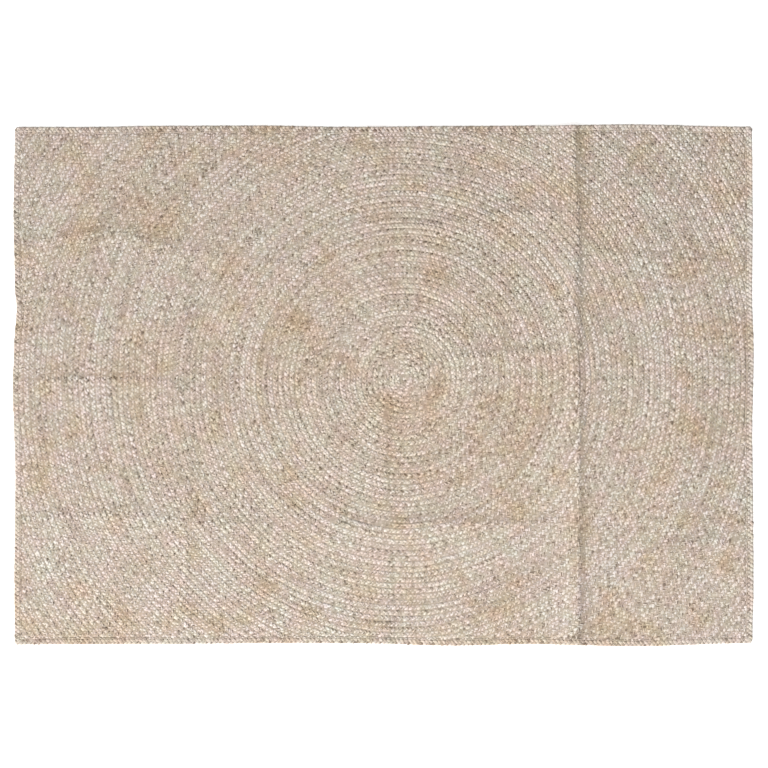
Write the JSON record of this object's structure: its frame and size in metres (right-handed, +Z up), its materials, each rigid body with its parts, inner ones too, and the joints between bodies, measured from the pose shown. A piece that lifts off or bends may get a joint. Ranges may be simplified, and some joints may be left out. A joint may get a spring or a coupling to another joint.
{
  "type": "jute rug",
  "caption": "Flat rectangular floor rug of a three-strand jute braid wound in a spiral coil, cut square and bordered by one more braid.",
  "frame": {"origin": "under the middle of the rug, on the surface it lies on", "axes": "+X along the long side, +Y along the short side, +Z up out of the face that is walked on"},
  "size_m": [2.3089, 1.6263, 0.021],
  "materials": {
    "jute_coil": "matt bleached and natural jute strands, plaited, in mixed ivory, cream and tan",
    "jute_border": "matt jute braid, a little more tan than the field"
  },
  "bodies": {
    "root": {"coiled_field": "jute_coil", "edge_braid": "jute_border"}
  },
  "joints": []
}
